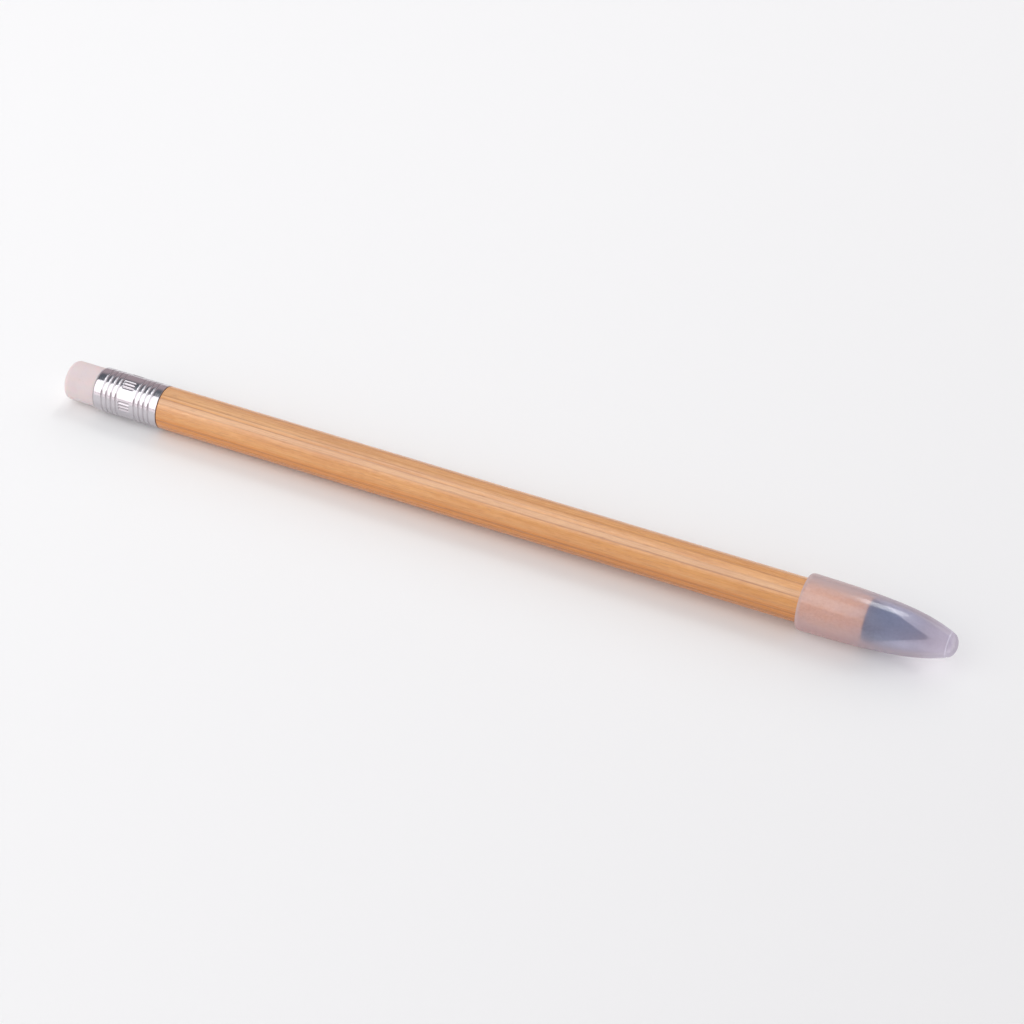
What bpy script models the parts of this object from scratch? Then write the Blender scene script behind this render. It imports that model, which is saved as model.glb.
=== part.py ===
# Inkless pencil, lying along X with its writing tip towards +X.
# A round wooden barrel holds a rubber eraser in a rolled metal ferrule at its rear end.
# At its front end it holds a graphite cone on a plastic stem.
# A see-through cap pushes on over the cone and slides off along the pencil's axis.

import math

import bmesh
import bpy
from mathutils import Matrix, Vector

MM = 0.001

# Turned pieces
SIDES = 32  # flats round every turned piece, one of them facing down
MERGE = 0.001 * MM  # points on the turning axis closer than this are one
SEAT_GAP = 0.05 * MM  # room in the glued and crimped seats
EDGE_STEPS = 3  # flats across a small rounded edge
DOME_STEPS = 5  # flats across a dome or a wide rounded edge
RUN_STEPS = 8  # flats along the cap's long curve
RING_STEPS = 4  # flats across a rolled ring, and half as many where it presses in

# Barrel
BARREL_DIAMETER = 7.5 * MM
BARREL_LENGTH = 127.7 * MM  # bare wood between ferrule and writing tip
BARREL_EDGE = 0.25 * MM  # bevel round its front end

# Ferrule
FERRULE_LENGTH = 12.4 * MM
FERRULE_PROUD = 0.05 * MM  # how far it stands over the wood
FERRULE_WALL = 0.3 * MM
FERRULE_END_BAND = 1.2 * MM  # plain metal at each end
RING_PITCH = 0.92 * MM
RING_WIDTH = 0.5 * MM
RING_DEPTH = 0.12 * MM
PUNCH_GROUPS = 6
PUNCHES_IN_GROUP = 3
PUNCH_SPACING = 0.6 * MM  # between marks, round the metal
PUNCH_LENGTH = 2.1 * MM
PUNCH_RADIUS = 0.2 * MM
PUNCH_DEPTH = 0.13 * MM
PUNCH_SIDES = 8
PUNCH_TURN = 16.0  # degrees from the lowest line of the metal to the first group
PUNCH_LAND = 0.75 * MM  # from the marks' ends to the middle of the first ring

# Eraser
ERASER_PROUD = 6.1 * MM
ERASER_ROUND = 1.0 * MM

# Writing tip and its stem
TIP_LENGTH = 9.8 * MM
TIP_POINT_RADIUS = 0.35 * MM
TIP_LAND = 0.25 * MM  # straight rim at the cone's base
TIP_WALL = 0.6 * MM  # least graphite round the stem's end
STEM_DIAMETER = 3.3 * MM
STEM_IN_BARREL = 9.0 * MM
STEM_END_GAP = 0.3 * MM  # glue room past each end
STEM_BEVEL = 0.3 * MM
STEM_GROOVES = 3
STEM_GROOVE_PITCH = 2.2 * MM
STEM_GROOVE_WIDTH = 0.9 * MM
STEM_GROOVE_DEPTH = 0.25 * MM

# Cap
CAP_OVERLAP = 10.9 * MM  # how far it reaches back over the wood
CAP_CLEARANCE = 0.1 * MM
CAP_RIM_WALL = 0.92 * MM
CAP_WALL = 0.66 * MM
CAP_RIM_ROUND = 0.3 * MM
CAP_LEAD_IN = 0.2 * MM
CAP_POINT_ROOM = 3.6 * MM  # from the writing point to the crease behind the nose
CAP_CREASE_RADIUS = 2.15 * MM
CAP_CREASE_STEP = 0.1 * MM
CAP_NOSE_HEIGHT = 1.4 * MM
CAP_NOSE_WALL = 1.1 * MM
CAP_MOUTH_SLOPE = 0.018  # radius lost for each unit of length
CAP_SEAT_SLOPE = 0.061
CAP_CREASE_SLOPE = 0.4

# Finishes, with colours as linear red, green and blue
WOOD_COLOUR = (0.72, 0.37, 0.16)
WOOD_ROUGHNESS = 0.35
METAL_COLOUR = (0.78, 0.77, 0.79)
METAL_ROUGHNESS = 0.22
RUBBER_COLOUR = (0.77, 0.66, 0.66)
RUBBER_ROUGHNESS = 0.75
GRAPHITE_COLOUR = (0.045, 0.05, 0.06)
GRAPHITE_ROUGHNESS = 0.4
GRAPHITE_METALLIC = 0.3
STEM_COLOUR = (0.75, 0.75, 0.72)
STEM_ROUGHNESS = 0.5
CAP_COLOUR = (0.72, 0.68, 0.76)
CAP_ROUGHNESS = 0.3
CAP_TRANSMISSION = 0.8

# Places along the axis, counted from the eraser's flat end
ferrule_rear = ERASER_PROUD
ferrule_front = ferrule_rear + FERRULE_LENGTH
ferrule_middle = (ferrule_rear + ferrule_front) / 2
shoulder = ferrule_front + SEAT_GAP
barrel_front = shoulder + BARREL_LENGTH
tip_base = barrel_front + SEAT_GAP
tip_point = tip_base + TIP_LENGTH
cap_mouth = barrel_front - CAP_OVERLAP
cap_crease = tip_point + CAP_POINT_ROOM
cap_nose = cap_crease + CAP_NOSE_HEIGHT
first_ring = PUNCH_LENGTH / 2 + PUNCH_LAND
tenon_end = ferrule_middle - (PUNCH_LENGTH / 2 + first_ring - RING_WIDTH / 2) / 2

# Radii that mating pieces share
barrel_radius = BARREL_DIAMETER / 2
front_radius = barrel_radius - BARREL_EDGE
ferrule_radius = barrel_radius + FERRULE_PROUD
ferrule_bore = ferrule_radius - FERRULE_WALL
seat_radius = ferrule_bore - SEAT_GAP
stem_radius = STEM_DIAMETER / 2
stem_bore = stem_radius + SEAT_GAP
cap_bore = barrel_radius + CAP_CLEARANCE
cap_mouth_radius = cap_bore + CAP_RIM_WALL
cap_seat_radius = cap_bore + CAP_WALL
stem_in_tip = TIP_LENGTH * (1 - (stem_bore + TIP_WALL) / front_radius)

# The deepest flat of the cap's mouth lies on the ground
axis_height = cap_mouth_radius * math.cos(math.pi / SIDES)


def clear_scene():
    for old in list(bpy.data.objects):
        bpy.data.objects.remove(old, do_unlink=True)


def new_collection(name, hidden=False):
    collection = bpy.data.collections.new(name)
    collection.hide_render = hidden
    bpy.context.scene.collection.children.link(collection)
    return collection


def new_material(name, colour, roughness, metallic=0.0, transmission=0.0):
    material = bpy.data.materials.new(name)
    material.use_nodes = True
    material.diffuse_color = (*colour, 1.0)
    shader = material.node_tree.nodes["Principled BSDF"]
    shader.inputs["Base Color"].default_value = (*colour, 1.0)
    shader.inputs["Roughness"].default_value = roughness
    shader.inputs["Metallic"].default_value = metallic
    shader.inputs["Transmission Weight"].default_value = transmission
    return material


def new_axis(collection, name):
    # An empty on the pencil's axis: its own Z points along the pencil, to the tip
    axis = bpy.data.objects.new(name, None)
    axis.location = (-cap_nose / 2, 0, axis_height)
    axis.rotation_euler = (0, math.pi / 2, 0)
    axis.empty_display_size = BARREL_DIAMETER
    collection.objects.link(axis)
    return axis


def turned(name, profile, material, axis, collection, closed=False):
    # profile holds (radius, place) points, down the outer side from the tip's end to the eraser's
    points = [(radius, 0, place) for radius, place in profile]
    edges = [(i, i + 1) for i in range(len(points) - 1)]
    if closed:
        edges.append((len(points) - 1, 0))
    mesh = bpy.data.meshes.new(name)
    mesh.from_pydata(points, edges, [])
    mesh.materials.append(material)
    piece = bpy.data.objects.new(name, mesh)
    collection.objects.link(piece)
    piece.parent = axis
    piece.rotation_euler = (0, 0, math.pi / SIDES)
    screw = piece.modifiers.new("turn", "SCREW")
    screw.steps = SIDES
    screw.render_steps = SIDES
    screw.use_merge_vertices = True
    screw.merge_threshold = MERGE
    screw.use_smooth_shade = True
    return piece


def arc(centre, radius, height, start, end, steps):
    # Points of an ellipse's arc, its angles in degrees from the outward radius towards the tip
    points = []
    for i in range(steps + 1):
        angle = math.radians(start + (end - start) * i / steps)
        points.append((centre[0] + radius * math.cos(angle), centre[1] + height * math.sin(angle)))
    return points


def smooth_run(start, end, start_slope, end_slope, steps):
    # A cubic between two (radius, place) points that leaves and arrives at the given slopes
    span = end[1] - start[1]
    points = []
    for i in range(steps + 1):
        t = i / steps
        radius = (
            (2 * t**3 - 3 * t**2 + 1) * start[0]
            + (t**3 - 2 * t**2 + t) * span * start_slope
            + (3 * t**2 - 2 * t**3) * end[0]
            + (t**3 - t**2) * span * end_slope
        )
        points.append((radius, start[1] + span * t))
    return points


def ring_places():
    # Middles of the rolled rings, from the front of the ferrule to its rear
    offsets = []
    offset = first_ring
    while offset + RING_WIDTH / 2 <= FERRULE_LENGTH / 2 - FERRULE_END_BAND:
        offsets.append(offset)
        offset += RING_PITCH
    return [ferrule_middle + off for off in reversed(offsets)] + [ferrule_middle - off for off in offsets]


def rolled_side(radius, top, bottom, steps):
    # A straight side from top to bottom that dips in at each rolled ring between them
    points = [(radius, top)]
    for middle in ring_places():
        if not bottom < middle < top:
            continue
        for i in range(steps + 1):
            share = i / steps
            dip = RING_DEPTH * math.sin(math.pi * share)
            points.append((radius - dip, middle + RING_WIDTH * (0.5 - share)))
    points.append((radius, bottom))
    return points


def make_barrel(axis, parts):
    bore_end = barrel_front - STEM_IN_BARREL - STEM_END_GAP
    profile = [(0, bore_end), (stem_bore, bore_end), (stem_bore, barrel_front)]
    edge = (front_radius, barrel_front - BARREL_EDGE)
    profile += arc(edge, BARREL_EDGE, BARREL_EDGE, 90, 0, EDGE_STEPS)
    profile += [(barrel_radius, shoulder)]
    profile += rolled_side(seat_radius, shoulder, tenon_end + SEAT_GAP, RING_STEPS // 2)
    profile += [(0, tenon_end + SEAT_GAP)]
    wood = new_material("lacquered_wood", WOOD_COLOUR, WOOD_ROUGHNESS)
    return turned("barrel", profile, wood, axis, parts)


def make_ferrule(axis, parts, cutters):
    outside = rolled_side(ferrule_radius, ferrule_front, ferrule_rear, RING_STEPS)
    inside = rolled_side(ferrule_bore, ferrule_front, ferrule_rear, RING_STEPS // 2)
    metal = new_material("bright_aluminium", METAL_COLOUR, METAL_ROUGHNESS, metallic=1.0)
    profile = outside + list(reversed(inside))
    ferrule = turned("ferrule", profile, metal, axis, parts, closed=True)
    cut = ferrule.modifiers.new("punch_marks", "BOOLEAN")
    cut.operation = "DIFFERENCE"
    cut.solver = "EXACT"
    cut.object = make_punches(axis, cutters)
    return ferrule


def make_punches(axis, cutters):
    # Short rods lying along the ferrule, sunk a little into its middle band
    mesh = bpy.data.meshes.new("ferrule_punches")
    rods = bmesh.new()
    distance = ferrule_radius + PUNCH_RADIUS - PUNCH_DEPTH
    spacing = PUNCH_SPACING / ferrule_radius
    for group in range(PUNCH_GROUPS):
        middle = math.radians(PUNCH_TURN) + 2 * math.pi * group / PUNCH_GROUPS
        for mark in range(PUNCHES_IN_GROUP):
            turn = Matrix.Rotation(middle + spacing * (mark - (PUNCHES_IN_GROUP - 1) / 2), 4, "Z")
            bmesh.ops.create_cone(
                rods,
                cap_ends=True,
                segments=PUNCH_SIDES,
                radius1=PUNCH_RADIUS,
                radius2=PUNCH_RADIUS,
                depth=PUNCH_LENGTH,
                matrix=turn @ Matrix.Translation(Vector((distance, 0, ferrule_middle))),
            )
    rods.to_mesh(mesh)
    rods.free()
    punches = bpy.data.objects.new("ferrule_punches", mesh)
    cutters.objects.link(punches)
    punches.parent = axis
    punches.hide_render = True
    punches.display_type = "WIRE"
    return punches


def make_eraser(axis, parts):
    profile = [(0, tenon_end)]
    profile += rolled_side(seat_radius, tenon_end, ferrule_rear, RING_STEPS // 2)
    edge = (seat_radius - ERASER_ROUND, ERASER_ROUND)
    profile += arc(edge, ERASER_ROUND, ERASER_ROUND, 0, -90, DOME_STEPS)
    profile += [(0, 0)]
    rubber = new_material("pink_rubber", RUBBER_COLOUR, RUBBER_ROUGHNESS)
    return turned("eraser", profile, rubber, axis, parts)


def make_writing_tip(axis, parts):
    # The cone's side leaves the round point along a tangent, which meets it at this angle
    rise = TIP_LENGTH - TIP_LAND - TIP_POINT_RADIUS
    reach = math.hypot(front_radius, rise)
    meeting = math.degrees(math.acos(TIP_POINT_RADIUS / reach) - math.atan2(rise, front_radius))
    point = (0, tip_point - TIP_POINT_RADIUS)
    profile = arc(point, TIP_POINT_RADIUS, TIP_POINT_RADIUS, 90, meeting, DOME_STEPS)
    socket_end = tip_base + stem_in_tip
    profile += [
        (front_radius, tip_base + TIP_LAND),
        (front_radius, tip_base),
        (stem_bore, tip_base),
        (stem_bore, socket_end),
        (0, socket_end),
    ]
    graphite = new_material("graphite", GRAPHITE_COLOUR, GRAPHITE_ROUGHNESS, GRAPHITE_METALLIC)
    return turned("writing_tip", profile, graphite, axis, parts)


def make_tip_stem(axis, parts):
    front = tip_base + stem_in_tip - STEM_END_GAP
    rear = barrel_front - STEM_IN_BARREL
    profile = [(0, front), (stem_radius - STEM_BEVEL, front), (stem_radius, front - STEM_BEVEL)]
    first_groove = barrel_front - (STEM_IN_BARREL - STEM_GROOVE_PITCH * (STEM_GROOVES - 1)) / 2
    for groove in range(STEM_GROOVES):
        middle = first_groove - STEM_GROOVE_PITCH * groove
        for side, depth in ((1, 0), (1, STEM_GROOVE_DEPTH), (-1, STEM_GROOVE_DEPTH), (-1, 0)):
            profile.append((stem_radius - depth, middle + side * STEM_GROOVE_WIDTH / 2))
    profile += [(stem_radius, rear + STEM_BEVEL), (stem_radius - STEM_BEVEL, rear), (0, rear)]
    plastic = new_material("white_plastic", STEM_COLOUR, STEM_ROUGHNESS)
    return turned("tip_stem", profile, plastic, axis, parts)


def make_cap(axis, parts):
    crease = (CAP_CREASE_RADIUS, cap_crease)
    seat = (cap_seat_radius, barrel_front)
    rim = (cap_mouth_radius, cap_mouth + CAP_RIM_ROUND)
    rim_centre = (cap_mouth_radius - CAP_RIM_ROUND, rim[1])
    outside = arc((0, cap_crease), CAP_CREASE_RADIUS - CAP_CREASE_STEP, CAP_NOSE_HEIGHT, 90, 0, DOME_STEPS)
    outside += smooth_run(crease, seat, -CAP_CREASE_SLOPE, -CAP_SEAT_SLOPE, RUN_STEPS)
    outside += smooth_run(seat, rim, -CAP_SEAT_SLOPE, -CAP_MOUTH_SLOPE, EDGE_STEPS)[1:]
    outside += arc(rim_centre, CAP_RIM_ROUND, CAP_RIM_ROUND, 0, -90, EDGE_STEPS)[1:]
    bore_end = (cap_bore, barrel_front)
    hollow = (CAP_CREASE_RADIUS - CAP_WALL, cap_crease - CAP_NOSE_WALL)
    inside = [(cap_bore + CAP_LEAD_IN, cap_mouth), (cap_bore, cap_mouth + CAP_LEAD_IN)]
    inside += smooth_run(bore_end, hollow, -CAP_SEAT_SLOPE, -CAP_CREASE_SLOPE, RUN_STEPS)
    inside += arc((0, hollow[1]), hollow[0], CAP_NOSE_HEIGHT, 0, 90, DOME_STEPS)[1:]
    plastic = new_material("frosted_plastic", CAP_COLOUR, CAP_ROUGHNESS, transmission=CAP_TRANSMISSION)
    return turned("cap", outside + inside, plastic, axis, parts)


def main():
    clear_scene()
    parts = new_collection("inkless_pencil")
    cutters = new_collection("inkless_pencil_cutters", hidden=True)
    axis = new_axis(parts, "pencil_axis")
    make_barrel(axis, parts)
    make_ferrule(axis, parts, cutters)
    make_eraser(axis, parts)
    make_writing_tip(axis, parts)
    make_tip_stem(axis, parts)
    make_cap(axis, parts)


main()
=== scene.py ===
import math

import bmesh
import bpy
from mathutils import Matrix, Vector


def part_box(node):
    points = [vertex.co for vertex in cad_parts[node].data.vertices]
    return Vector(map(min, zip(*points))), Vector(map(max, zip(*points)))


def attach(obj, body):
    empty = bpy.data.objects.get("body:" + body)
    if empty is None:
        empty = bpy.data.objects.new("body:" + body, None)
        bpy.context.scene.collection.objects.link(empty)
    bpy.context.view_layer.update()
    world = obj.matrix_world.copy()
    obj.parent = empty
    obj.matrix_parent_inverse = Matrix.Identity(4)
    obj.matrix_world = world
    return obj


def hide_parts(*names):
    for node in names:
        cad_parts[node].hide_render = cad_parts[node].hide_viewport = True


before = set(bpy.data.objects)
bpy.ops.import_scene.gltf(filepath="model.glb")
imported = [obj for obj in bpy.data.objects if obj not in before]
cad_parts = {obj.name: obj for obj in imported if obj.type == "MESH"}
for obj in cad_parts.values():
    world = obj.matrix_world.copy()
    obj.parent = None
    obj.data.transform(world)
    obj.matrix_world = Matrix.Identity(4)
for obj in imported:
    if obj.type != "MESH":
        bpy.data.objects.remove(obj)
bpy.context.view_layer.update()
print("frame loaded:", ", ".join(sorted(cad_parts)))

mm = 0.001
cadFlats = 32            # flats round each CAD node, one of them facing down
roundSides = 144         # sides round each finished piece
smoothAngle = 40         # degrees, past which an edge stays sharp
mergeGap = 0.001 * mm    # points closer than this are one
seatGap = 0.05 * mm      # room that the CAD leaves in its seats
glueRoom = 0.3 * mm      # room that it leaves past each end of the stem


def spanOf(node):        # where a node starts and ends along the pencil
    low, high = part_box(node)
    return low.x, high.x


def radiusOf(node):      # the round radius that a node's flats stand for
    low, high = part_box(node)
    return (high.z - low.z) / 2 / math.cos(math.pi / cadFlats)


capLow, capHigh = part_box("cap")
axisZ = (capLow.z + capHigh.z) / 2
eraserEnd, eraserInner = spanOf("eraser")
ferruleRear, ferruleFront = spanOf("ferrule")
tenonEnd, barrelFront = spanOf("barrel")
tipBase, tipPoint = spanOf("writing_tip")
stemRear, stemFront = spanOf("tip_stem")
capMouth, capNose = spanOf("cap")
seatRadius = radiusOf("eraser")
ferruleRadius = radiusOf("ferrule")
barrelRadius = radiusOf("barrel")
tipRadius = radiusOf("writing_tip")
stemRadius = radiusOf("tip_stem")
capRadius = radiusOf("cap")


# Modelling helpers

# Degrees start at 0, which points outwards, and 90 points to the tip.
def arcPoints(x, radius, along, out, start, end, steps):
    points = []
    for i in range(steps + 1):
        angle = math.radians(start + (end - start) * i / steps)
        points.append((x + along * math.sin(angle), radius + out * math.cos(angle)))
    return points


def easedRun(start, end, startSlope, endSlope, steps):     # a cubic from one (x, radius) to another
    span = end[0] - start[0]
    points = []
    for i in range(steps + 1):
        t = i / steps
        radius = (2 * t**3 - 3 * t**2 + 1) * start[1] + (t**3 - 2 * t**2 + t) * span * startSlope
        radius += (3 * t**2 - 2 * t**3) * end[1] + (t**3 - t**2) * span * endSlope
        points.append((start[0] + span * t, radius))
    return points


def straightRun(start, end, steps):
    return [tuple(Vector(start).lerp(Vector(end), i / steps)) for i in range(steps + 1)]


def lathe(name, outline, sides=roundSides):                # outline holds (x, radius) points
    bpy.ops.object.select_all(action="DESELECT")
    here = Vector((outline[0][0], 0, axisZ + outline[0][1]))
    bpy.ops.mesh.primitive_plane_add(size=mm, location=here)
    piece = bpy.context.object
    piece.name = name
    piece.data.name = name
    bpy.ops.object.transform_apply(location=True, rotation=True, scale=True)
    bpy.ops.object.mode_set(mode="EDIT")
    bpy.ops.mesh.select_all(action="SELECT")
    bpy.ops.mesh.merge(type="CENTER")                      # one point, which draws the outline
    for x, radius in outline[1:]:
        there = Vector((x, 0, axisZ + radius))
        bpy.ops.mesh.extrude_region_move(TRANSFORM_OT_translate={"value": there - here})
        here = there
    bpy.ops.mesh.select_all(action="SELECT")
    bpy.ops.mesh.spin(steps=sides, angle=2 * math.pi, center=(0, 0, axisZ), axis=(1, 0, 0))
    bpy.ops.mesh.select_all(action="SELECT")
    bpy.ops.mesh.remove_doubles(threshold=mergeGap)
    bpy.ops.mesh.normals_make_consistent(inside=False)
    bpy.ops.object.mode_set(mode="OBJECT")
    bpy.ops.object.shade_smooth_by_angle(angle=math.radians(smoothAngle))
    return piece


def place(piece, finish, body, node):                # dresses a piece, hangs it on its body
    piece.data.materials.clear()
    piece.data.materials.append(finish)
    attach(piece, body)
    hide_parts(node)
    print("made", piece.name, "with", len(piece.data.polygons), "faces")


# Shader helpers

class Flow:              # a shader value that Python's own operators add to
    def __init__(self, tree, socket=None):
        self.tree = tree
        self.socket = socket

    def node(self, kind, settings=None, inputs=None, output=0):
        made = self.tree.nodes.new("ShaderNode" + kind)
        for key, value in (settings or {}).items():
            if key == "stops":
                fillRamp(made.color_ramp, value)
            else:
                setattr(made, key, value)
        for key, value in (inputs or {}).items():
            if isinstance(value, Flow):
                self.tree.links.new(value.socket, made.inputs[key])
            else:
                made.inputs[key].default_value = value
        return Flow(self.tree, made.outputs[output])

    def maths(self, operation, first, second=0.0):
        return self.node("Math", {"operation": operation}, {0: first, 1: second})

    def __add__(self, other):
        return self.maths("ADD", self, other)

    def __radd__(self, other):
        return self.maths("ADD", other, self)

    def __sub__(self, other):
        return self.maths("SUBTRACT", self, other)

    def __rsub__(self, other):
        return self.maths("SUBTRACT", other, self)

    def __mul__(self, other):
        return self.maths("MULTIPLY", self, other)

    def __rmul__(self, other):
        return self.maths("MULTIPLY", other, self)

    def __truediv__(self, other):
        return self.maths("DIVIDE", self, other)

    def __rtruediv__(self, other):
        return self.maths("DIVIDE", other, self)

    def feed(self, shader, name):
        self.tree.links.new(self.socket, shader.inputs[name])


def fillRamp(ramp, stops):                                 # stops hold (place, value), in order
    while len(ramp.elements) < len(stops):
        ramp.elements.new(1.0)
    for element, (spot, value) in zip(ramp.elements, stops):
        element.position = spot
        element.color = (value, value, value, 1)


def startFinish(name):
    material = bpy.data.materials.new(name)
    material.use_nodes = True
    flow = Flow(material.node_tree)
    shader = material.node_tree.nodes["Principled BSDF"]
    here = flow.node("TexCoord", output="Object")
    return material, flow, shader, here


def measured(flow, here):                                  # along the pencil, and across from its axis
    along = flow.node("SeparateXYZ", None, {0: here}, output=0)
    side = flow.node("SeparateXYZ", None, {0: here}, output=1)
    height = flow.node("SeparateXYZ", None, {0: here}, output=2) - axisZ
    return along, side, height


def stretched(flow, here, along, across, detail, roughness):        # noise drawn out along the pencil
    spot = flow.node("Mapping", None, {"Vector": here, "Scale": (along, across, across)})
    inputs = {"Vector": spot, "Scale": 1.0, "Detail": detail, "Roughness": roughness}
    return flow.node("TexNoise", None, inputs)


def patternsOf(flow, here, piece):
    return {name: stretched(flow, here, *recipe) for name, recipe in piece["patterns"].items()}


def weighted(patterns, shares):                            # patterns added up by their shares
    return sum(patterns[name] * share for name, share in shares.items())


def swing(pattern, reach):                                 # noise about zero
    return (pattern - 0.5) * reach


def between(flow, value, low, high):                       # 0 at low, 1 at high, eased
    settings = {"interpolation_type": "SMOOTHSTEP"}
    return flow.node("MapRange", settings, {"Value": value, "From Min": low, "From Max": high})


def blendColour(flow, amount, first, second):
    return flow.node("Mix", {"data_type": "RGBA"}, {0: amount, 6: first, 7: second}, output=2)


def mixShaders(flow, amount, first, second):
    return flow.node("MixShader", None, {0: amount, 1: first, 2: second})


def texture(flow, shader, patterns, piece):                # a piece's roughness and its fine relief
    (weighted(patterns, piece["roughness"]) + piece["leastRoughness"]).feed(shader, "Roughness")
    strength, distance = piece["bump"]
    inputs = {"Strength": strength, "Distance": distance, "Height": weighted(patterns, piece["relief"])}
    flow.node("Bump", None, inputs).feed(shader, "Normal")


# Barrel: round wood with growth lines along it, under satin lacquer

barrel = {
    "edge": 0.25 * mm,
    "edgeSteps": 5,
    "shoulderEdge": 0.12 * mm,
    "lengthSteps": 60,
    "patterns": {        # scale along and across the pencil, detail, roughness
        "drift": (16, 130, 2.0, 0.5),
        "fray": (90, 1500, 3.0, 0.55),
        "streaks": (60, 1100, 3.0, 0.55),
        "fibres": (80, 4300, 4.0, 0.6),
        "flecks": (650, 4200, 2.0, 0.5),
        "clouds": (26, 240, 2.0, 0.5),
        "hairs": (190, 11000, 3.0, 0.6),
        "pores": (330, 8200, 1.0, 0.5),
        "breaks": (34, 700, 2.0, 0.5),
    },
    "lineTurn": 136,     # degrees from straight up to the way that the growth lines are stacked
    "lines": [           # place across the blank, half width, darkness at the rear and at the front
        (-0.93, 0.07, 0.5, 0.5), (-0.65, 0.05, 0.0, 0.6), (-0.50, 0.05, 0.7, 0.0),
        (-0.32, 0.05, 0.9, 0.3), (-0.07, 0.055, 0.5, 1.0), (0.18, 0.06, 0.2, 0.2),
        (0.45, 0.07, 0.15, 0.15), (0.68, 0.055, 0.9, 1.0), (0.90, 0.09, 0.6, 0.8),
    ],
    "driftReach": 0.12,          # how far the lines wander across the blank
    "frayReach": 0.03,
    "lineAmount": 0.9,
    "lineBreak": 0.45,           # share of a line that comes and goes along it
    "breakRamp": (0.3, 0.62),
    "tone": {"streaks": 0.3, "fibres": 0.25, "flecks": 0.2, "clouds": 0.25},
    "toneRamp": (0.40, 0.60),
    "deepRamp": (0.45, 0.62),    # these ramps are places across the blank, as the lines' are
    "deepAmount": 0.8,
    "bandStart": (-0.38, -0.28),
    "bandEnd": (-0.03, -0.13),
    "upperStart": (-0.95, -0.75),
    "upperEnd": (-0.36, -0.46),
    "roseAndSheenAmount": 0.3,
    "paintedShadeRamp": (0.1, 0.5),
    "paintedShadeAmount": 0.14,
    "hairRamp": (0.52, 0.75),
    "hairAmount": 0.34,
    "poreRamp": (0.66, 0.74),
    "poreAmount": 0.5,
    "rubbedRun": 3.0 * mm,       # over which the wood turns to what the cap has dulled, and to a paler colour that is partly painted light
    "rubbedAndLitAmount": 0.35,
    "pale": (0.80, 0.395, 0.125, 1),
    "mid": (0.64, 0.265, 0.06, 1),
    "line": (0.37, 0.128, 0.026, 1),
    "deep": (0.66, 0.235, 0.028, 1),
    "pore": (0.36, 0.15, 0.055, 1),
    "bare": (0.95, 0.61, 0.35, 1),
    "roseAndSheen": (0.75, 0.54, 0.36, 1),       # two paler growth bands, the upper one at the rear alone, which also paint in the lacquer's sheen along the upper side
    "roughness": {"fibres": 0.2, "rubbed": 0.35},
    "leastRoughness": 0.17,
    "relief": {"streaks": 0.3, "fibres": 0.6, "hairs": 0.5, "pores": -0.6},
    "bump": (0.4, 0.03 * mm),
    "gloss": 0.9,
    "coat": 0.4,
    "coatRoughness": 0.25,
}


def growthLines(flow, stacked, end):                       # end is 0 at the rear and 1 at the front
    stops = []
    for spot, half, *darkness in barrel["lines"]:
        for edge, value in ((spot - half, 0.0), (spot, darkness[end]), (spot + half, 0.0)):
            stops.append(((edge + 1) / 2, value))
    return flow.node("ValToRGB", {"stops": stops}, {0: (stacked + 1) * 0.5})


def woodFinish():
    material, flow, shader, here = startFinish("lacqueredWood")
    along, side, height = measured(flow, here)
    patterns = patternsOf(flow, here, barrel)
    patterns["pores"] = between(flow, patterns["pores"], *barrel["poreRamp"])
    patterns["rubbed"] = between(flow, along, capMouth, capMouth + barrel["rubbedRun"])
    forward = between(flow, along, ferruleFront, capMouth)

    turn = math.radians(barrel["lineTurn"])
    stacked = (side * -math.sin(turn) + height * math.cos(turn)) / barrelRadius
    stacked = stacked + swing(patterns["drift"], barrel["driftReach"])
    stacked = stacked + swing(patterns["fray"], barrel["frayReach"])
    lines = growthLines(flow, stacked, 0) * (1 - forward) + growthLines(flow, stacked, 1) * forward
    breaks = between(flow, patterns["breaks"], *barrel["breakRamp"])
    lines = lines * (breaks * barrel["lineBreak"] + (1 - barrel["lineBreak"]))

    tone = between(flow, weighted(patterns, barrel["tone"]), *barrel["toneRamp"])
    deep = between(flow, stacked, *barrel["deepRamp"])
    band = between(flow, stacked, *barrel["bandStart"]) * between(flow, stacked, *barrel["bandEnd"])
    upper = between(flow, stacked, *barrel["upperStart"]) * between(flow, stacked, *barrel["upperEnd"])
    # partly painted sheen: paler bands along the upper side, partly the wood's own paler growth
    roseAndSheen = band + upper * (1 - forward)
    # painted shade: the lower side darkens towards the front
    shade = between(flow, stacked, *barrel["paintedShadeRamp"]) * forward
    hairs = between(flow, patterns["hairs"], *barrel["hairRamp"])

    colour = blendColour(flow, tone, barrel["pale"], barrel["mid"])
    colour = blendColour(flow, deep * barrel["deepAmount"], colour, barrel["deep"])
    colour = blendColour(flow, roseAndSheen * barrel["roseAndSheenAmount"], colour, barrel["roseAndSheen"])
    colour = blendColour(flow, shade * barrel["paintedShadeAmount"], colour, barrel["line"])
    colour = blendColour(flow, lines * barrel["lineAmount"], colour, barrel["line"])
    colour = blendColour(flow, hairs * barrel["hairAmount"], colour, barrel["line"])
    colour = blendColour(flow, patterns["pores"] * barrel["poreAmount"], colour, barrel["pore"])
    # paler under the cap: partly rubbed wear, partly painted light making up for the light the cap holds
    # back
    colour = blendColour(flow, patterns["rubbed"] * barrel["rubbedAndLitAmount"], colour, barrel["bare"])
    colour.feed(shader, "Base Color")
    ((1 - patterns["rubbed"]) * barrel["coat"]).feed(shader, "Coat Weight")
    shader.inputs["Specular IOR Level"].default_value = barrel["gloss"]
    shader.inputs["Coat Roughness"].default_value = barrel["coatRoughness"]
    texture(flow, shader, patterns, barrel)
    return material


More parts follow.
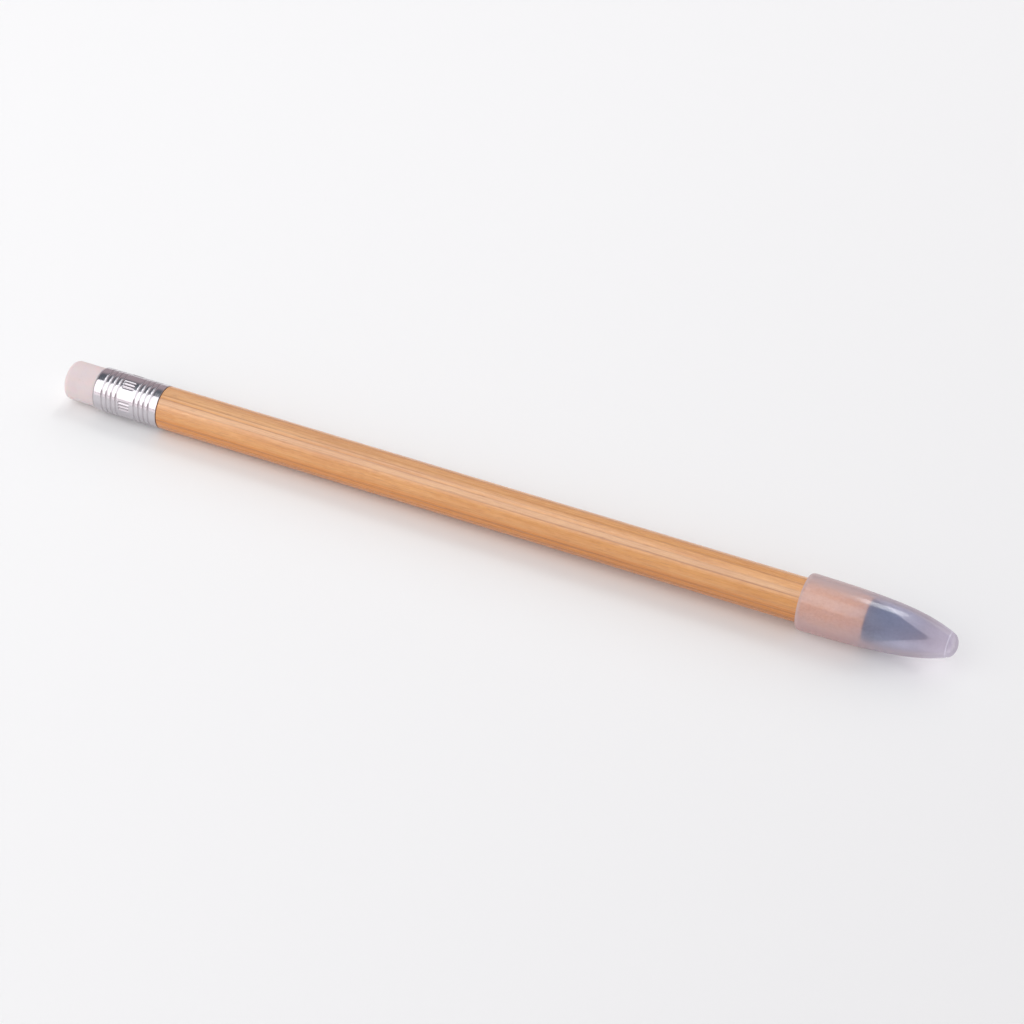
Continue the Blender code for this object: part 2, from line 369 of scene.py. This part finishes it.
def makeBarrel():
    edge = barrel["edge"]
    bevel = barrel["shoulderEdge"]
    shoulder = ferruleFront + seatGap
    tenon = seatRadius - seatGap
    bore = stemRadius + seatGap
    boreEnd = stemRear - glueRoom
    outline = [(boreEnd, 0), (boreEnd, bore), (barrelFront, bore)]
    outline += arcPoints(barrelFront - edge, barrelRadius - edge, edge, edge, 90, 0, barrel["edgeSteps"])
    rear = (shoulder + bevel, barrelRadius)
    outline += straightRun((barrelFront - edge, barrelRadius), rear, barrel["lengthSteps"])[1:]
    outline += [(shoulder, barrelRadius - bevel), (shoulder, tenon), (tenonEnd, tenon), (tenonEnd, 0)]
    place(lathe("woodBarrel", outline), woodFinish(), "pencil", "barrel")


# Ferrule: thin bright tube, rolled in rings and punched with short marks

ferrule = {
    "wall": 0.3 * mm,
    "lip": 0.05 * mm,
    "rearRun": 0.5 * mm,         # the rear lip is turned in onto the eraser
    "rearDrop": 0.22 * mm,
    "rearSteps": 8,
    "ringPitch": 0.92 * mm,
    "ringCount": 4,              # rings on each side of the marks
    "firstRing": 1.8 * mm,
    "ringWidth": 0.6 * mm,
    "ringDepth": 0.05 * mm,
    "ringHold": 0.05 * mm,       # a plain strip that keeps each ring's bend to itself
    "outsideSteps": 10,          # across a ring
    "insideSteps": 4,
    "bandSteps": 26,
    "sides": 360,
    "groups": 6,
    "marks": 3,
    "groupTurn": 18,             # degrees from straight down to the first group
    "markGap": 0.62 * mm,
    "markLength": 2.1 * mm,
    "presses": [                 # half width and depth of each press of the punch
        (0.2 * mm, 0.035 * mm), (0.16 * mm, 0.035 * mm),
        (0.11 * mm, 0.035 * mm), (0.06 * mm, 0.025 * mm),
    ],
    "patterns": {
        "rolled": (9000, 160, 3.0, 0.6),         # fine lines round the tube
        "smears": (500, 700, 3.0, 0.55),
        "nicks": (2600, 5200, 2.0, 0.5),
    },
    "nickRamp": (0.68, 0.76),
    "sunkRamp": (0.08, 0.7),     # shares of a ring's depth
    # painted shade: the rings and punched marks darken by how deep they sink
    "paintedGrooveShadeAmount": 0.5,
    "metal": (0.66, 0.63, 0.66, 1),
    "dull": (0.58, 0.55, 0.58, 1),
    "paintedGrooveShade": (0.36, 0.33, 0.35, 1),
    "roughness": {"rolled": 0.06, "smears": 0.06, "nicks": 0.1, "sunk": 0.18},
    "leastRoughness": 0.08,
    "relief": {"rolled": 0.5, "nicks": -0.4},
    "bump": (0.08, 0.01 * mm),
}


def metalFinish():
    material, flow, shader, here = startFinish("rolledAluminium")
    _, side, height = measured(flow, here)
    patterns = patternsOf(flow, here, ferrule)
    patterns["nicks"] = between(flow, patterns["nicks"], *ferrule["nickRamp"])
    radius = flow.maths("SQRT", side * side + height * height)
    depth = (ferruleRadius - radius) / ferrule["ringDepth"]
    patterns["sunk"] = between(flow, depth, *ferrule["sunkRamp"])
    colour = blendColour(flow, patterns["smears"], ferrule["metal"], ferrule["dull"])
    # painted shade in the rings and punched marks, by their depth
    colour = blendColour(flow, patterns["sunk"] * ferrule["paintedGrooveShadeAmount"], colour, ferrule["paintedGrooveShade"])
    colour.feed(shader, "Base Color")
    shader.inputs["Metallic"].default_value = 1.0
    texture(flow, shader, patterns, ferrule)
    return material


def rolledSide(radius, front, rear, steps):                # a tube's side with a dip at each ring
    middle = (front + rear) / 2
    half = ferrule["ringWidth"] / 2
    offsets = [ferrule["firstRing"] + ferrule["ringPitch"] * i for i in range(ferrule["ringCount"])]
    places = [middle + off for off in offsets] + [middle - off for off in offsets]
    band = ferrule["firstRing"] - half - ferrule["ringHold"]
    bandFront = (middle + band, radius)
    bandRear = (middle - band, radius)
    points = [(front, radius)]
    for i, spot in enumerate(sorted(places, reverse=True)):
        points.append((spot + half + ferrule["ringHold"], radius))
        for k in range(steps + 1):
            share = k / steps
            dip = ferrule["ringDepth"] * math.sin(math.pi * share) ** 2
            points.append((spot + ferrule["ringWidth"] * (0.5 - share), radius - dip))
        points.append((spot - half - ferrule["ringHold"], radius))
        if i == ferrule["ringCount"] - 1:                  # rows in the plain band, for the marks
            points += straightRun(bandFront, bandRear, ferrule["bandSteps"])[1:-1]
    return points + [(rear, radius)]


def pressMarks(piece):                                     # sinks the marks a little at a time
    middle = (ferruleFront + ferruleRear) / 2
    step = 2 * math.pi / ferrule["groups"]
    gap = ferrule["markGap"] / ferruleRadius
    reach = ferrule["markLength"] / 2
    each = ferrule["marks"] // 2                           # marks on each side of a group's middle
    bpy.ops.object.mode_set(mode="EDIT")
    grid = bmesh.from_edit_mesh(piece.data)
    rows = []
    for vert in grid.verts:
        turn = math.atan2(vert.co.y, axisZ - vert.co.z) - math.radians(ferrule["groupTurn"])
        turn = (turn + step / 2) % step - step / 2
        sideways = min(abs(turn - mark * gap) for mark in range(-each, each + 1)) * ferruleRadius
        endways = abs(vert.co.x - middle) - reach
        out = math.hypot(vert.co.y, vert.co.z - axisZ) > ferruleRadius - ferrule["wall"] / 2
        rows.append((vert, sideways, endways, out))
    for half, depth in ferrule["presses"]:
        for vert, sideways, endways, out in rows:
            tail = max(endways + half, 0)                  # round ends
            vert.select = out and math.hypot(sideways, tail) < half
        grid.select_flush_mode()
        bmesh.update_edit_mesh(piece.data)
        shrink = 1 - depth / ferruleRadius
        bpy.ops.transform.resize(value=(1, shrink, shrink), center_override=(0, 0, axisZ))
    bpy.ops.object.mode_set(mode="OBJECT")


def makeFerrule():
    lip = ferrule["lip"]
    inner = ferruleRadius - ferrule["wall"]
    run = ferrule["rearRun"]
    drop = ferrule["rearDrop"]
    front = ferruleFront - lip
    outside = rolledSide(ferruleRadius, front, ferruleRear + run, ferrule["outsideSteps"])
    inside = rolledSide(inner, front, ferruleRear + lip, ferrule["insideSteps"])
    rear = arcPoints(ferruleRear + run, ferruleRadius - drop, run, drop, 0, -90, ferrule["rearSteps"])
    outline = [(ferruleFront, inner + lip), (ferruleFront, ferruleRadius - lip)]
    outline += outside + rear[1:] + [(ferruleRear, inner + lip)] + inside[::-1]
    outline.append(outline[0])
    piece = lathe("crimpedFerrule", outline, ferrule["sides"])
    pressMarks(piece)
    place(piece, metalFinish(), "pencil", "ferrule")


# Eraser: pale pink rubber plug

eraser = {
    "round": 1.0 * mm,
    "roundSteps": 12,
    "sideSteps": 12,
    "endRings": (0.66, 0.33, 0.0),       # shares of the flat end's radius
    "squeeze": 0.125 * mm,               # where the ferrule holds it
    "squeezeRun": 0.2 * mm,
    "patterns": {
        "mottle": (420, 420, 4.0, 0.55),
        "grain": (9000, 9000, 2.0, 0.5),
        "specks": (3200, 3200, 1.0, 0.5),
    },
    "speckRamp": (0.70, 0.78),
    "speckAmount": 0.3,
    "pink": (0.70, 0.60, 0.60, 1),
    "pale": (0.76, 0.68, 0.675, 1),
    "dust": (0.52, 0.44, 0.45, 1),
    "roughness": {"mottle": 0.2},
    "leastRoughness": 0.6,
    "relief": {"grain": 0.6, "mottle": 0.8},
    "bump": (0.15, 0.02 * mm),
    "softness": 0.25,                    # share of the light that goes into the rubber
    "softDepth": 0.8 * mm,
    "gloss": 0.35,
}


def rubberFinish():
    material, flow, shader, here = startFinish("palePinkRubber")
    patterns = patternsOf(flow, here, eraser)
    specks = between(flow, patterns["specks"], *eraser["speckRamp"])
    colour = blendColour(flow, patterns["mottle"], eraser["pink"], eraser["pale"])
    colour = blendColour(flow, specks * eraser["speckAmount"], colour, eraser["dust"])
    colour.feed(shader, "Base Color")
    shader.inputs["Subsurface Weight"].default_value = eraser["softness"]
    shader.inputs["Subsurface Scale"].default_value = eraser["softDepth"]
    shader.inputs["Specular IOR Level"].default_value = eraser["gloss"]
    texture(flow, shader, patterns, eraser)
    return material


def makeEraser():
    rounding = eraser["round"]
    flat = seatRadius - rounding
    inner = seatRadius - eraser["squeeze"]
    rear = eraserEnd + rounding
    outline = [(eraserInner, 0), (eraserInner, inner), (ferruleRear + eraser["squeezeRun"], inner)]
    outline += straightRun((ferruleRear, seatRadius), (rear, seatRadius), eraser["sideSteps"])
    outline += arcPoints(rear, flat, rounding, rounding, 0, -90, eraser["roundSteps"])[1:]
    outline += [(eraserEnd, flat * share) for share in eraser["endRings"]]
    place(lathe("rubberEraser", outline), rubberFinish(), "pencil", "eraser")


# Writing tip: graphite cone, and the stem that holds it

tip = {
    "land": 0.25 * mm,
    "point": 0.35 * mm,
    "pointSteps": 8,
    "sideSteps": 24,
    "patterns": {
        "turned": (7000, 60, 3.0, 0.6),          # marks that turning leaves
        "cloud": (900, 900, 4.0, 0.6),
    },
    "tone": {"cloud": 0.7, "turned": 0.3},
    "grey": (0.032, 0.043, 0.07, 1),
    "sheen": (0.06, 0.077, 0.122, 1),
    "roughness": {"cloud": 0.15, "turned": 0.1},
    "leastRoughness": 0.42,
    "relief": {"turned": 1.0, "cloud": 0.4},
    "bump": (0.12, 0.01 * mm),
    "gloss": 0.2,
}


def graphiteFinish():
    material, flow, shader, here = startFinish("graphiteAlloy")
    patterns = patternsOf(flow, here, tip)
    colour = blendColour(flow, weighted(patterns, tip["tone"]), tip["grey"], tip["sheen"])
    colour.feed(shader, "Base Color")
    shader.inputs["Specular IOR Level"].default_value = tip["gloss"]
    texture(flow, shader, patterns, tip)
    return material


def makeTip():
    point = tip["point"]
    rise = tipPoint - tipBase - tip["land"] - point
    slant = math.hypot(tipRadius, rise)
    meeting = math.degrees(math.acos(point / slant) - math.atan2(rise, tipRadius))
    bore = stemRadius + seatGap
    socketEnd = stemFront + glueRoom
    outline = arcPoints(tipPoint - point, 0, point, point, 90, meeting, tip["pointSteps"])
    outline += straightRun(outline[-1], (tipBase + tip["land"], tipRadius), tip["sideSteps"])[1:]
    outline += [(tipBase, tipRadius), (tipBase, bore), (socketEnd, bore), (socketEnd, 0)]
    place(lathe("graphiteTip", outline), graphiteFinish(), "pencil", "writing_tip")


stem = {
    "bevel": 0.3 * mm,
    "sides": 64,
    "grooves": 3,
    "groovePitch": 2.2 * mm,
    "grooveWidth": 0.9 * mm,
    "grooveDepth": 0.25 * mm,
    "grooveSteps": 4,
    "patterns": {"cloud": (700, 700, 3.0, 0.5)},
    "white": (0.72, 0.72, 0.69, 1),
    "shade": (0.62, 0.62, 0.60, 1),
    "roughness": {"cloud": 0.2},
    "leastRoughness": 0.4,
    "relief": {"cloud": 1.0},
    "bump": (0.1, 0.01 * mm),
}


def stemFinish():
    material, flow, shader, here = startFinish("whiteMouldedPlastic")
    patterns = patternsOf(flow, here, stem)
    blendColour(flow, patterns["cloud"], stem["white"], stem["shade"]).feed(shader, "Base Color")
    texture(flow, shader, patterns, stem)
    return material


def makeStem():
    bevel = stem["bevel"]
    half = stem["grooveWidth"] / 2
    outline = [(stemFront, 0), (stemFront, stemRadius - bevel), (stemFront - bevel, stemRadius)]
    grooved = stem["groovePitch"] * (stem["grooves"] - 1)
    first = barrelFront - (barrelFront - stemRear - grooved) / 2
    for groove in range(stem["grooves"]):
        middle = first - stem["groovePitch"] * groove
        for i in range(stem["grooveSteps"] + 1):
            angle = math.pi * i / stem["grooveSteps"]
            depth = stem["grooveDepth"] * math.sin(angle)
            outline.append((middle + half * math.cos(angle), stemRadius - depth))
    outline += [(stemRear + bevel, stemRadius), (stemRear, stemRadius - bevel), (stemRear, 0)]
    place(lathe("tipStem", outline, stem["sides"]), stemFinish(), "pencil", "tip_stem")


# Cap: see-through frosted shell that pushes on over the cone

cap = {
    "clearance": 0.1 * mm,
    "wall": 0.66 * mm,
    "rimRun": 0.85 * mm,
    "rimDrop": 0.4 * mm,
    "leadIn": 0.2 * mm,
    "creaseRadius": 2.15 * mm,
    "creaseStep": 0.1 * mm,
    "noseHeight": 1.4 * mm,
    "noseWall": 1.1 * mm,
    "mouthSlope": -0.018,
    "seatSlope": -0.061,
    "creaseSlope": -0.4,
    "noseSteps": 14,
    "frontSteps": 30,            # from the crease back to the seat
    "mouthSteps": 12,
    "rimSteps": 10,
    "boreSteps": 10,
    "hollowSteps": 26,
    "domeSteps": 12,
    "patterns": {
        "cloud": (420, 640, 3.0, 0.55),
        "grain": (5200, 5200, 2.0, 0.5),
        "frost": (1700, 2400, 3.0, 0.6),
    },
    "highlightRingHalf": 0.12 * mm,       # the painted highlight line round the nose, where the crease catches the light
    "highlightRingHaze": 0.36,
    "noseHaze": 0.24,
    "edgeHaze": 0.72,            # more haze where the wall is seen edge on
    "outerHaze": 0.16,
    "innerHaze": 0.14,
    "cloudHaze": 0.14,
    "frostHaze": 0.2,
    "mouthFrost": 0.12,          # added to the frost towards the mouth
    "outerGlow": 0.22,           # share of the light from behind that the wall spreads
    "innerGlow": 0.05,
    "noseGlowLoss": 0.4,
    "mouthwardRun": (5.0 * mm, -8.0 * mm),   # from ahead of the barrel's front to behind it
    "noseRun": 2.0 * mm,                 # how far behind the writing point the nose's colour starts
    "aheadRun": 4.0 * mm,                # to each side of the barrel's front
    "lowerEdge": (0.1, 0.45),            # how far a face turns away before it counts as edge on
    "upperFrontEdge": (0.28, 0.68),
    "upperRearEdge": (0.06, 0.36),
    "edgeRoughness": 0.6,
    "polish": 0.15,
    "mirrorPower": 5.0,
    "mirrorEdge": 0.35,
    "mirrorFace": 0.05,
    "roughness": {"grain": 0.12},
    "leastRoughness": 0.4,
    "relief": {"grain": 1.0},
    "bump": (0.05, 0.01 * mm),
    "glowColour": (0.98, 0.94, 1.0, 1),
    "clear": (0.98, 0.96, 0.965, 1),
    "lit": (0.99, 0.985, 0.99, 1),
    "milk": (0.46, 0.59, 0.88, 1),
    "lilac": (0.40, 0.52, 0.81, 1),
    # haze tint over the wood: painted light that the wood throws back into the wall
    "paintedWoodBounce": (0.67, 0.63, 0.73, 1),
    "body": (0.38, 0.345, 0.44, 1),
    "nose": (0.54, 0.51, 0.63, 1),
    # colour of the painted highlight line round the nose
    "pale": (0.85, 0.84, 0.95, 1),
    "edge": (0.46, 0.39, 0.43, 1),
    "paintedWoodLitLowerEdge": (0.58, 0.39, 0.375, 1),
    "paintedUpperEdge": (0.52, 0.415, 0.41, 1),
    "noseEdge": (0.58, 0.54, 0.63, 1),
}


def polishedSide(flow, surface, along, height, noseward):  # milky edges and a streak of light
    reach = cap["aheadRun"]
    ahead = between(flow, along, barrelFront - reach, barrelFront + reach)
    # painted light: the edge haze is warmer along the lower side, where the wood's light falls, and
    # greyer along the upper side
    upper = between(flow, height, -capRadius / 2, capRadius / 2)
    tint = blendColour(flow, upper, cap["paintedWoodLitLowerEdge"], cap["paintedUpperEdge"])
    tint = blendColour(flow, ahead, tint, cap["edge"])
    tint = blendColour(flow, noseward, tint, cap["noseEdge"])
    inputs = {"Base Color": tint, "Roughness": cap["edgeRoughness"], "Specular IOR Level": 0.0}
    edge = flow.node("BsdfPrincipled", None, inputs)
    facing = flow.node("LayerWeight", output="Facing")
    edgeOn = between(flow, facing, *cap["lowerEdge"]) * (1 - upper)
    edgeOn = edgeOn + between(flow, facing, *cap["upperFrontEdge"]) * (upper * ahead)
    edgeOn = edgeOn + between(flow, facing, *cap["upperRearEdge"]) * (upper * (1 - ahead))
    surface = mixShaders(flow, edgeOn * cap["edgeHaze"], surface, edge)
    shine = flow.node("BsdfGlossy", None, {"Color": (1, 1, 1, 1), "Roughness": cap["polish"]})
    mirror = flow.maths("POWER", facing, cap["mirrorPower"]) * cap["mirrorEdge"] + cap["mirrorFace"]
    return mixShaders(flow, mirror, surface, shine)


def capFinish(name, share, glowShare, polished):           # see-through, with milky haze mixed in
    material, flow, shader, here = startFinish(name)
    along, _, height = measured(flow, here)
    patterns = patternsOf(flow, here, cap)
    crease = capNose - cap["noseHeight"]
    half = cap["highlightRingHalf"]
    ring = between(flow, along, crease - 2 * half, crease) * between(flow, along, crease + half, crease)
    thick = between(flow, along, barrelFront, crease)      # the wall thickens towards the nose
    mouthward = between(flow, along, *[barrelFront + run for run in cap["mouthwardRun"]])
    noseward = between(flow, along, tipPoint - cap["noseRun"], crease)

    colour = blendColour(flow, patterns["cloud"], cap["milk"], cap["lilac"])
    # painted light: the haze over the wood takes the colour of light that the wood throws back
    colour = blendColour(flow, mouthward, colour, cap["paintedWoodBounce"])
    colour = blendColour(flow, thick, colour, cap["body"])
    colour = blendColour(flow, noseward, colour, cap["nose"])
    # painted highlight: a paler line round the nose at the crease
    blendColour(flow, ring, colour, cap["pale"]).feed(shader, "Base Color")
    shader.inputs["Specular IOR Level"].default_value = 0.0
    texture(flow, shader, patterns, cap)

    clear = flow.node("BsdfTransparent", None, {"Color": cap["clear"]})
    haze = Flow(flow.tree, shader.outputs[0])
    frost = mouthward * cap["mouthFrost"] + cap["frostHaze"]
    mottle = swing(patterns["cloud"], cap["cloudHaze"]) + swing(patterns["frost"], frost)
    amount = ring * cap["highlightRingHaze"] + thick * cap["noseHaze"] + mottle + share
    surface = mixShaders(flow, amount, clear, haze)
    glow = flow.node("BsdfTranslucent", None, {"Color": cap["glowColour"]})
    surface = mixShaders(flow, (1 - thick * cap["noseGlowLoss"]) * glowShare, surface, glow)
    if polished:
        surface = polishedSide(flow, surface, along, height, noseward)
    lampRay = flow.node("LightPath", output="Is Shadow Ray")        # lamps reach the wood and the cone
    passed = flow.node("BsdfTransparent", None, {"Color": cap["lit"]})
    mixShaders(flow, lampRay, surface, passed).feed(flow.tree.nodes["Material Output"], "Surface")
    return material


def dressInside(piece, finish):                            # a second finish, for the faces round the bore
    piece.data.materials.append(finish)
    bpy.ops.object.mode_set(mode="EDIT")
    grid = bmesh.from_edit_mesh(piece.data)
    for face in grid.faces:
        middle = face.calc_center_median()
        face.select = face.normal.y * middle.y + face.normal.z * (middle.z - axisZ) < 0
    bmesh.update_edit_mesh(piece.data)
    piece.active_material_index = 1
    bpy.ops.object.material_slot_assign()
    bpy.ops.object.mode_set(mode="OBJECT")


def makeCap():
    bore = barrelRadius + cap["clearance"]
    run = cap["rimRun"]
    drop = cap["rimDrop"]
    height = cap["noseHeight"]
    crease = (capNose - height, cap["creaseRadius"])
    seat = (barrelFront, bore + cap["wall"])
    rim = (capMouth + run, capRadius)
    lead = (capMouth + cap["leadIn"], bore)
    boreEnd = (barrelFront, bore)
    hollow = (crease[0] - cap["noseWall"], cap["creaseRadius"] - cap["wall"])
    noseRadius = cap["creaseRadius"] - cap["creaseStep"]
    outline = arcPoints(crease[0], 0, height, noseRadius, 90, 0, cap["noseSteps"])
    outline += easedRun(crease, seat, cap["creaseSlope"], cap["seatSlope"], cap["frontSteps"])
    outline += easedRun(seat, rim, cap["seatSlope"], cap["mouthSlope"], cap["mouthSteps"])[1:]
    outline += arcPoints(rim[0], capRadius - drop, run, drop, 0, -90, cap["rimSteps"])[1:]
    outline += [(capMouth, bore + cap["leadIn"])]
    outline += straightRun(lead, boreEnd, cap["boreSteps"])
    outline += easedRun(boreEnd, hollow, cap["seatSlope"], cap["creaseSlope"], cap["hollowSteps"])[1:]
    outline += arcPoints(hollow[0], 0, height, hollow[1], 0, 90, cap["domeSteps"])[1:]
    piece = lathe("frostedCap", outline)
    outer = capFinish("polishedLilacPlastic", cap["outerHaze"], cap["outerGlow"], True)
    inner = capFinish("mattLilacPlastic", cap["innerHaze"], cap["innerGlow"], False)
    place(piece, outer, "cap", "cap")
    dressInside(piece, inner)


# Stage, lights and camera

stage = {
    "floorSide": 6.0,
    "paper": (0.925, 0.945, 0.935, 1),
    "paperRoughness": 0.9,
    "walls": (0.51, 0.43, 0.455, 1),
    "ceiling": (0.125, 0.145, 0.17, 1),
    "ceilingRamp": (0.56, 0.82),         # how steeply a ray points up where the ceiling begins
}
# Name, degrees from straight up towards the camera, distance, x, width, length, glow, and whether
# the lamp is mirrored in glossy pieces.
lamps = [
    ("keySoftbox", 30, 0.8, -0.825, 0.66, 1.65, 1.7, True),
    ("ferruleBox", 60, 0.8, -0.98, 0.42, 1.25, 1.5, True),
    ("tableGlow", 83.5, 0.8, -0.9, 0.17, 1.4, 0.8, True),
    ("capStrip", -30, 0.8, 0.035, 0.32, 0.12, 6.6, True),
    ("ringGlow", -14, 0.8, -0.235, 0.49, 0.25, 1.25, True),
    ("barrelGlow", -1, 0.8, -0.25, 0.28, 0.29, 1.5, True),
    ("backFill", -48, 0.9, 0.3, 0.7, 1.4, 0.78, False),
    ("frontFill", 58, 0.9, 0.45, 0.7, 1.2, 0.18, False),
]
view = {
    "azimuth": 24.3,
    "elevation": 42.2,
    "distance": 0.5,
    "lens": 106.0,
    "sensor": 36.0,
    "nearest": 0.01,
    "middleX": 0.85 * mm,        # the place on the pencil's axis that the camera was fitted at
    "aimRight": 2.32 * mm,
    "aimUp": -0.68 * mm,
}


def makeFloor():
    rest = Vector((capMouth, 0, axisZ - capRadius))        # the cap's mouth and the ferrule's rear
    rear = Vector((ferruleRear, 0, axisZ - ferruleRadius))         # both touch the floor
    lean = -math.atan2(rest.z - rear.z, rest.x - rear.x)
    bpy.ops.object.select_all(action="DESELECT")
    bpy.ops.mesh.primitive_plane_add(size=stage["floorSide"], location=(0, 0, 0))
    floor = bpy.context.object
    floor.name = "studioFloor"
    floor.rotation_euler = (0, lean, 0)
    floor.location = (0, 0, rest.z + math.tan(lean) * rest.x)
    material, _, shader, _ = startFinish("palePaper")
    shader.inputs["Base Color"].default_value = stage["paper"]
    shader.inputs["Roughness"].default_value = stage["paperRoughness"]
    shader.inputs["Specular IOR Level"].default_value = 0.0
    floor.data.materials.append(material)


def makeLights():
    world = bpy.data.worlds.new("studioRoom")
    bpy.context.scene.world = world
    world.use_nodes = True
    flow = Flow(world.node_tree)                           # pale walls under a dark ceiling
    ray = flow.node("TexCoord", output="Generated")
    up = flow.node("SeparateXYZ", None, {0: ray}, output=2)
    ceiling = between(flow, up, *stage["ceilingRamp"])
    colour = blendColour(flow, ceiling, stage["walls"], stage["ceiling"])
    colour.feed(world.node_tree.nodes["Background"], "Color")
    for name, angle, distance, x, width, length, glow, mirrored in lamps:
        turn = math.radians(angle)
        spot = (x, -distance * math.sin(turn), distance * math.cos(turn))
        bpy.ops.object.select_all(action="DESELECT")
        bpy.ops.object.light_add(type="AREA", location=spot)
        lamp = bpy.context.object
        lamp.name = name
        lamp.rotation_euler = (turn, 0, 0)
        lamp.data.shape = "RECTANGLE"
        lamp.data.size = length
        lamp.data.size_y = width
        lamp.data.energy = glow * math.pi * length * width         # the same glow at any size
        lamp.visible_camera = False
        lamp.visible_glossy = mirrored


def makeCamera():
    turn = math.radians(view["azimuth"])
    rise = math.radians(view["elevation"])
    level = math.cos(rise)
    toCamera = Vector((level * math.sin(turn), -level * math.cos(turn), math.sin(rise)))
    right = Vector((math.cos(turn), math.sin(turn), 0))
    up = toCamera.cross(right)
    middle = Vector((view["middleX"], 0, axisZ))
    aim = middle + right * view["aimRight"] + up * view["aimUp"]
    bpy.ops.object.camera_add(location=aim + toCamera * view["distance"])
    camera = bpy.context.object
    camera.name = "photoCamera"
    camera.rotation_euler = (-toCamera).to_track_quat("-Z", "Y").to_euler()
    camera.data.lens = view["lens"]
    camera.data.sensor_width = view["sensor"]
    camera.data.clip_start = view["nearest"]
    bpy.context.scene.camera = camera


makeCamera()
makeFloor()
makeLights()
print("stage set")
makeBarrel()
makeFerrule()
makeEraser()
makeTip()
makeStem()
makeCap()

bpy.context.scene.view_settings.view_transform = "Standard"
